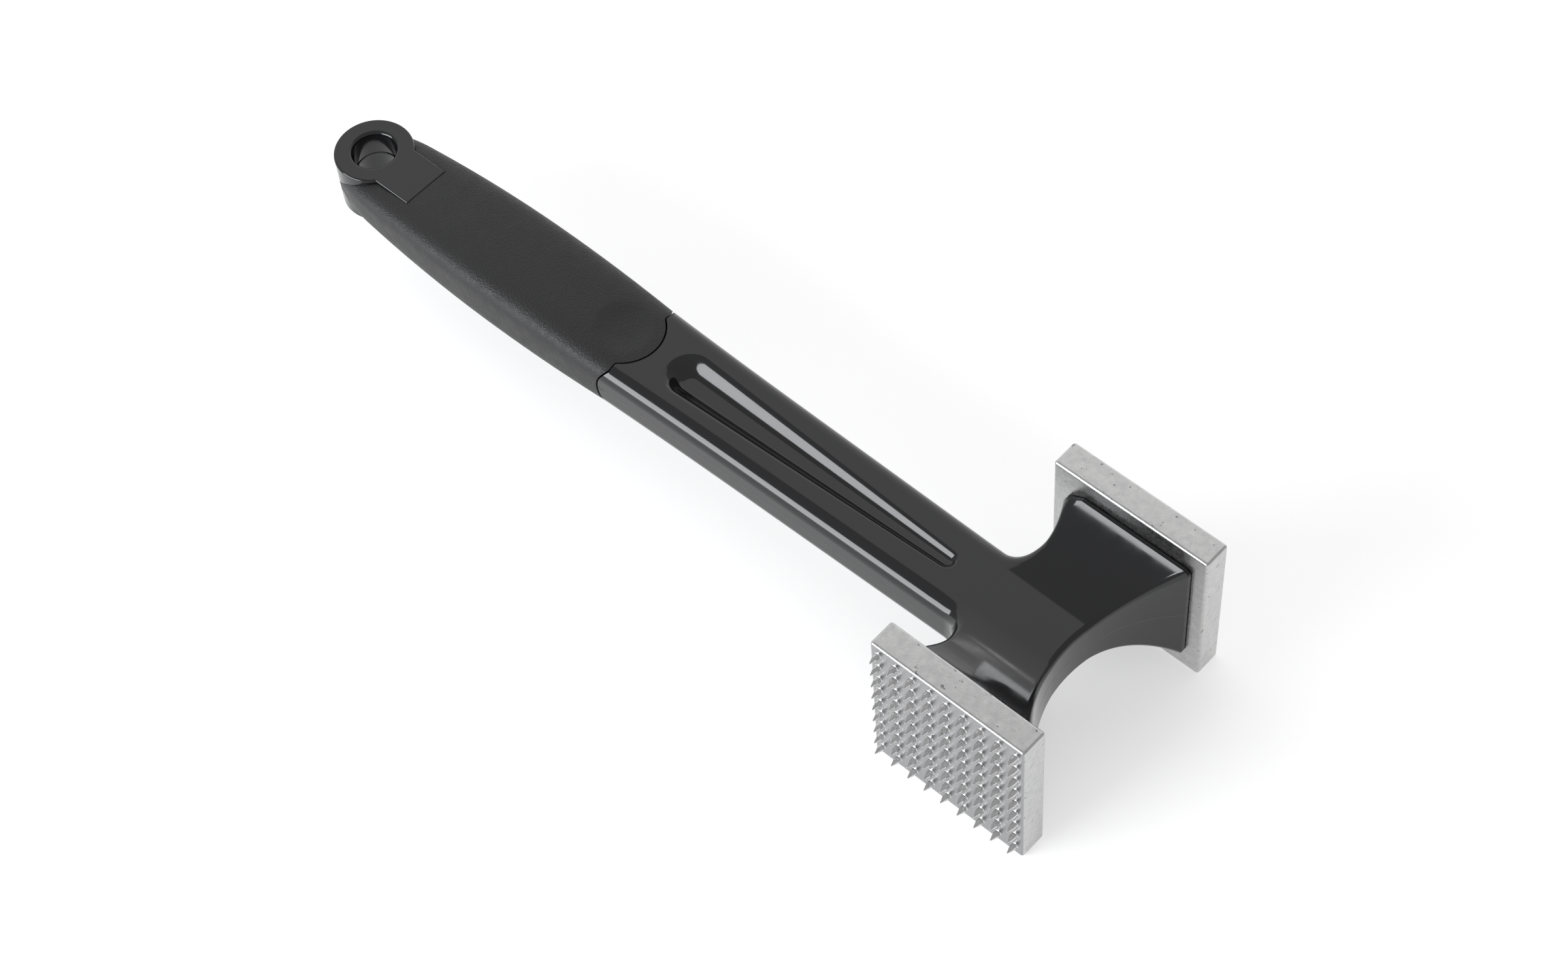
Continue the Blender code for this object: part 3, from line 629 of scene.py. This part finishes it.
def grip_zone(name, forward):
    """Everything behind the grip's front edge, moved forward by a gap."""
    front = GRIP_FRONT_X + forward
    radius = TONGUE_RADIUS + forward
    blend = TONGUE_BLEND - forward
    ahead = front + blend - THUMB_X
    aside = math.sqrt((radius + blend) ** 2 - ahead ** 2)
    meet = math.atan2(aside, ahead)
    half = [(ZONE_BACK_X, ZONE_HALF_WIDTH), (front, ZONE_HALF_WIDTH)]
    for i in range(BLEND_STEPS + 1):
        angle = math.pi + meet * i / BLEND_STEPS
        half.append((front + blend + blend * math.cos(angle), aside + blend * math.sin(angle)))
    for i in range(1, TONGUE_STEPS + 1):
        angle = meet * (1.0 - i / TONGUE_STEPS)
        half.append((THUMB_X + radius * math.cos(angle), radius * math.sin(angle)))
    zone = prism(name, half + [(x, -y) for x, y in reversed(half[:-1])], ZONE_HALF_WIDTH)
    centre_x = GRIP_FRONT_X - SIDE_ARC_SAGITTA + SIDE_ARC_RADIUS
    scoops = []
    for side in (-1, 1):
        middle = side * (SIDE_ARC_INNER_Y + ZONE_HALF_WIDTH) / 2
        half_length = (ZONE_HALF_WIDTH - SIDE_ARC_INNER_Y) / 2 + SIDE_ARC_OVERRUN
        radius = SIDE_ARC_RADIUS - forward
        scoops.append(cylinder(f"{name}_{side}", (centre_x, middle, 0.0), radius, half_length, ROUND_SIDES))
    combine(zone, "DIFFERENCE", scoops)
    return zone


def make_core():
    item = head_and_neck()
    combine(item, "DIFFERENCE", [grip_zone("neck_end", JOINT_GROOVE)])
    combine(item, "UNION", butt_pieces("core", 0.0))
    cutters = [eye_hole(), pocket("pocket_top", 1), pocket("pocket_bottom", -1)]
    cutters.append(cylinder("stud_bore", (STUD_X, 0.0, 0.0), STUD_RADIUS + GAP, FACE_TO_FACE / 4, BORE_SIDES))
    cutters += spigot_blocks("spiked_socket", -1, GAP) + spigot_blocks("smooth_socket", 1, GAP)
    combine(item, "DIFFERENCE", cutters)
    soften(item, MOULDING_SHARP_ANGLE)
    return item


# --- Grip --------------------------------------------------------------------------------


def grip_section(x):
    run = x - GRIP_WIDEST_X
    taper = GRIP_FRONT_TAPER if run > 0 else GRIP_BACK_TAPER
    closing = (max(GRIP_BACK_X + GRIP_END_LENGTH - x, 0.0) / GRIP_END_LENGTH) ** 2
    half_width = GRIP_HALF_WIDTH - taper * run ** 2 - GRIP_END_TUCK * closing
    half_thickness = GRIP_HALF_THICKNESS - GRIP_CROWN_TAPER * run ** 2 - GRIP_END_DROP * closing
    return half_width, half_thickness


def superellipse(sides):
    """A unit grip section with points evenly spaced round a typical grip's outline."""
    power = 2.0 / GRIP_SQUARENESS
    dense = []
    for k in range(SECTION_SAMPLES + 1):
        turn = 2 * math.pi * k / SECTION_SAMPLES
        y = math.copysign(abs(math.cos(turn)) ** power, math.cos(turn))
        z = math.copysign(abs(math.sin(turn)) ** power, math.sin(turn))
        dense.append((y, z))
    lengths = [0.0]
    for (y0, z0), (y1, z1) in zip(dense, dense[1:]):
        step = math.hypot((y1 - y0) * GRIP_HALF_WIDTH, (z1 - z0) * GRIP_HALF_THICKNESS)
        lengths.append(lengths[-1] + step)
    points = []
    k = 0
    for i in range(sides):
        wanted = lengths[-1] * (i + 0.5) / sides
        while lengths[k + 1] < wanted:
            k += 1
        share = (wanted - lengths[k]) / (lengths[k + 1] - lengths[k])
        (y0, z0), (y1, z1) = dense[k], dense[k + 1]
        points.append((y0 + (y1 - y0) * share, z0 + (z1 - z0) * share))
    return points


def thumb_dent(x, y):
    """Depth of the shallow thumb dimple, with a soft rim and no crease."""
    reach = math.hypot(x - THUMB_X, y) / THUMB_REACH
    if reach >= 1.0:
        return 0.0
    return THUMB_DEPTH * (1.0 - reach ** THUMB_POWER) ** 2


def make_grip():
    bm = bmesh.new()
    loops = []
    front = THUMB_X + TONGUE_RADIUS + GRIP_OVERRUN
    section = superellipse(GRIP_SIDES)
    for i in range(GRIP_STATIONS + 1):
        x = GRIP_BACK_X + (front - GRIP_BACK_X) * i / GRIP_STATIONS
        half_width, half_thickness = grip_section(x)
        loop = []
        for across, up in section:
            y = half_width * across
            z = half_thickness * up
            if abs(up) > CROWN_SHARE:
                z -= math.copysign(thumb_dent(x, y), z)
            loop.append(bm.verts.new((x, y, z)))
        loops.append(loop)
    bridge(bm, loops)
    item = add_object("grip_sleeve", bm)
    combine(item, "INTERSECT", [grip_zone("grip_front", 0.0)])
    combine(item, "DIFFERENCE", butt_pieces("grip_room", GRIP_GAP))
    soften(item, MOULDING_SHARP_ANGLE)
    return item


# --- Materials ---------------------------------------------------------------------------


class Finish:
    """A Principled material and short ways to add nodes to it."""

    def __init__(self, name, colour, roughness, metallic=0.0):
        self.material = bpy.data.materials.new(name)
        self.material.use_nodes = True
        self.tree = self.material.node_tree
        self.shader = self.tree.nodes["Principled BSDF"]
        self.shader.inputs["Base Color"].default_value = (*colour, 1.0)
        self.shader.inputs["Roughness"].default_value = roughness
        self.shader.inputs["Metallic"].default_value = metallic
        self.coords = self.tree.nodes.new("ShaderNodeTexCoord")

    def noise(self, per_metre, detail, roughness=0.5):
        node = self.tree.nodes.new("ShaderNodeTexNoise")
        node.inputs["Scale"].default_value = per_metre
        node.inputs["Detail"].default_value = detail
        node.inputs["Roughness"].default_value = roughness
        self.tree.links.new(self.coords.outputs["Object"], node.inputs["Vector"])
        return node.outputs["Fac"]

    def cells(self, per_metre):
        node = self.tree.nodes.new("ShaderNodeTexVoronoi")
        node.inputs["Scale"].default_value = per_metre
        self.tree.links.new(self.coords.outputs["Object"], node.inputs["Vector"])
        return node.outputs["Distance"]

    def spread(self, value, low, high, to_low, to_high):
        node = self.tree.nodes.new("ShaderNodeMapRange")
        node.inputs["From Min"].default_value = low
        node.inputs["From Max"].default_value = high
        node.inputs["To Min"].default_value = to_low
        node.inputs["To Max"].default_value = to_high
        self.tree.links.new(value, node.inputs["Value"])
        return node.outputs["Result"]

    def ramp(self, value, low, high):
        """Colour between two greys or colours, driven by a value from 0 to 1."""
        node = self.tree.nodes.new("ShaderNodeMix")
        node.data_type = "RGBA"
        node.inputs["A"].default_value = (*low, 1.0)
        node.inputs["B"].default_value = (*high, 1.0)
        self.tree.links.new(value, node.inputs["Factor"])
        return node.outputs["Result"]

    def darken(self, colour, amount, towards):
        """Take a colour part of the way to a darker one."""
        node = self.tree.nodes.new("ShaderNodeMix")
        node.data_type = "RGBA"
        self.tree.links.new(amount, node.inputs["Factor"])
        self.tree.links.new(colour, node.inputs["A"])
        node.inputs["B"].default_value = (*towards, 1.0)
        return node.outputs["Result"]

    def beyond(self, axis, place, soft):
        """1 where the object lies below a place on an axis, falling to 0 just above it."""
        split = self.tree.nodes.new("ShaderNodeSeparateXYZ")
        self.tree.links.new(self.coords.outputs["Object"], split.inputs["Vector"])
        return self.spread(split.outputs[axis], place, place + soft, 1.0, 0.0)

    def bump(self, height, distance, strength=1.0):
        """Add a bump on top of any the material already has."""
        node = self.tree.nodes.new("ShaderNodeBump")
        node.inputs["Distance"].default_value = distance
        node.inputs["Strength"].default_value = strength
        self.tree.links.new(height, node.inputs["Height"])
        for link in list(self.shader.inputs["Normal"].links):
            self.tree.links.new(link.from_socket, node.inputs["Normal"])
        self.tree.links.new(node.outputs["Normal"], self.shader.inputs["Normal"])

    def drive(self, socket, value):
        self.tree.links.new(value, self.shader.inputs[socket])


def aluminium(name, colour_low, colour_high, rough_low, rough_high, painted_face_shade=False):
    """Cast metal: fine mottling, a few dark pits, and, when asked, painted shade that darkens the face
    between the spikes.
    """
    finish = Finish(name, colour_high, rough_low, 1.0)
    mottle = finish.noise(420.0, 6.0, 0.65)
    shade = finish.spread(mottle, 0.3, 0.7, 0.0, 1.0)
    mixed = finish.ramp(shade, colour_low, colour_high)
    pits = finish.spread(finish.noise(700.0, 2.0, 0.5), 0.27, 0.31, 1.0, 0.0)
    mixed = finish.darken(mixed, pits, PIT_COLOUR)
    # Painted shade: the spiked face is darkened, standing in for the shadowed floor it reflects
    if painted_face_shade:
        mixed = finish.darken(mixed, finish.beyond("Y", SPIKED_FACE_Y, FACE_SHADE_FADE), FACE_SHADE_COLOUR)
    finish.drive("Base Color", mixed)
    finish.drive("Roughness", finish.spread(finish.noise(900.0, 4.0), 0.3, 0.7, rough_low, rough_high))
    finish.bump(finish.noise(2600.0, 3.0, 0.6), 0.00004, 0.5)
    finish.bump(finish.noise(260.0, 3.0, 0.5), 0.00015, 0.35)
    return finish.material


def parting_line(finish, height, half_width):
    """The fine mould line as a bump: 1 at its height, falling to 0 at its half-width."""
    split = finish.tree.nodes.new("ShaderNodeSeparateXYZ")
    finish.tree.links.new(finish.coords.outputs["Object"], split.inputs["Vector"])
    offset = finish.tree.nodes.new("ShaderNodeMath")
    offset.operation = "SUBTRACT"
    offset.inputs[1].default_value = height
    finish.tree.links.new(split.outputs["Z"], offset.inputs[0])
    size = finish.tree.nodes.new("ShaderNodeMath")
    size.operation = "ABSOLUTE"
    finish.tree.links.new(offset.outputs["Value"], size.inputs[0])
    return finish.spread(size.outputs["Value"], 0.0, half_width, 1.0, 0.0)


def black_nylon():
    finish = Finish("black_nylon", NYLON_COLOUR, 0.09)
    finish.shader.inputs["IOR"].default_value = 1.53
    finish.drive("Roughness", finish.spread(finish.noise(160.0, 5.0, 0.6), 0.3, 0.7, 0.07, 0.14))
    finish.bump(finish.noise(240.0, 2.0, 0.4), 0.00002, 0.4)
    finish.bump(parting_line(finish, MID_HEIGHT, 0.00016), 0.00008, 0.8)
    return finish.material


def grip_plastic():
    finish = Finish("grip_plastic", GRIP_COLOUR, 0.45)
    finish.shader.inputs["IOR"].default_value = 1.5
    finish.shader.inputs["Specular IOR Level"].default_value = 0.34
    finish.drive("Roughness", finish.spread(finish.noise(300.0, 4.0, 0.6), 0.3, 0.7, 0.4, 0.52))
    finish.bump(finish.spread(finish.cells(1700.0), 0.0, 0.7, 1.0, 0.0), 0.00016, 0.6)
    finish.bump(finish.noise(4200.0, 3.0, 0.6), 0.00007, 0.6)
    finish.bump(parting_line(finish, MID_HEIGHT, 0.0002), 0.00012, 0.8)
    return finish.material


def plain_steel():
    finish = Finish("plain_steel", STEEL_COLOUR, 0.3, 1.0)
    finish.drive("Roughness", finish.spread(finish.noise(500.0, 4.0), 0.3, 0.7, 0.25, 0.4))
    finish.bump(finish.noise(1800.0, 2.0), 0.00003, 0.4)
    return finish.material


def paint(item, material):
    item.data.materials.clear()
    item.data.materials.append(material)


# --- Studio ------------------------------------------------------------------------------


def add_camera():
    data = bpy.data.cameras.new("camera")
    data.lens = CAMERA_LENS
    data.sensor_width = CAMERA_SENSOR
    data.clip_start = CAMERA_CLIP_START
    camera = bpy.data.objects.new("camera", data)
    bpy.context.scene.collection.objects.link(camera)
    look = Vector(CAMERA_TARGET) - Vector(CAMERA_PLACE)
    roll = Matrix.Rotation(math.radians(CAMERA_ROLL), 4, "Z").to_quaternion()
    turn = look.to_track_quat("-Z", "Y") @ roll
    camera.matrix_world = Matrix.LocRotScale(Vector(CAMERA_PLACE), turn, None)
    bpy.context.scene.camera = camera


def add_panel(name, bearing, rise, distance, size, radiance, colour):
    """A soft light panel facing the mallet: bearing from +Y towards +X and rise, in degrees."""
    data = bpy.data.lights.new(name, "AREA")
    data.shape = "RECTANGLE"
    data.size, data.size_y = size
    data.energy = radiance * math.pi * size[0] * size[1]
    data.color = colour
    panel = bpy.data.objects.new(name, data)
    bpy.context.scene.collection.objects.link(panel)
    turn, lift = math.radians(bearing), math.radians(rise)
    direction = Vector((math.sin(turn) * math.cos(lift), math.cos(turn) * math.cos(lift), math.sin(lift)))
    place = Vector(PANEL_AIM) + direction * distance
    panel.matrix_world = Matrix.LocRotScale(place, (-direction).to_track_quat("-Z", "Y"), None)
    panel.visible_camera = False


def add_world(strength):
    world = bpy.data.worlds.new("studio")
    world.use_nodes = True
    world.node_tree.nodes["Background"].inputs["Color"].default_value = (1.0, 1.0, 1.0, 1.0)
    world.node_tree.nodes["Background"].inputs["Strength"].default_value = strength
    bpy.context.scene.world = world


def add_floor():
    bm = bmesh.new()
    bmesh.ops.create_grid(bm, x_segments=1, y_segments=1, size=FLOOR_HALF_SIZE)
    bmesh.ops.translate(bm, vec=(0.0, 0.0, -ORIGIN.z - FLOOR_DROP), verts=bm.verts)
    floor = add_object("floor", bm)
    finish = Finish("floor", FLOOR_COLOUR, FLOOR_ROUGHNESS)
    finish.shader.inputs["Specular IOR Level"].default_value = 0.0
    finish.shader.inputs["Emission Color"].default_value = (1.0, 1.0, 1.0, 1.0)
    finish.shader.inputs["Emission Strength"].default_value = FLOOR_GLOW
    floor.data.materials.append(finish.material)


# --- Scene -------------------------------------------------------------------------------


def build():
    # The plates' metal carries the painted shade on the spiked face
    metal = aluminium("cast_aluminium", CAST_DARK, CAST_LIGHT, 0.24, 0.34, painted_face_shade=True)
    keen = aluminium("bright_spikes", SPIKE_DARK, SPIKE_LIGHT, 0.12, 0.2)
    black = black_nylon()
    pieces = (
        (make_plate("plate_spiked", -1), "spiked_plate", "cast_aluminium", metal),
        (make_spikes(), "spiked_plate", "cast_aluminium", keen),
        (make_plate("plate_smooth", 1), "smooth_plate", "cast_aluminium", metal),
        (make_core(), "handle_core", "black_nylon", black),
        (make_grip(), "handle_grip", "grip_plastic", grip_plastic()),
    )
    for item, node, slot, material in pieces:
        paint(item, material)
        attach(item, "root")
        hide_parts(node)
    paint(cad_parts["tie_stud"], plain_steel())
    add_floor()
    add_world(WORLD_GLOW)
    for panel in PANELS:
        add_panel(*panel)
    bpy.context.scene.view_settings.view_transform = "Standard"
    add_camera()


build()
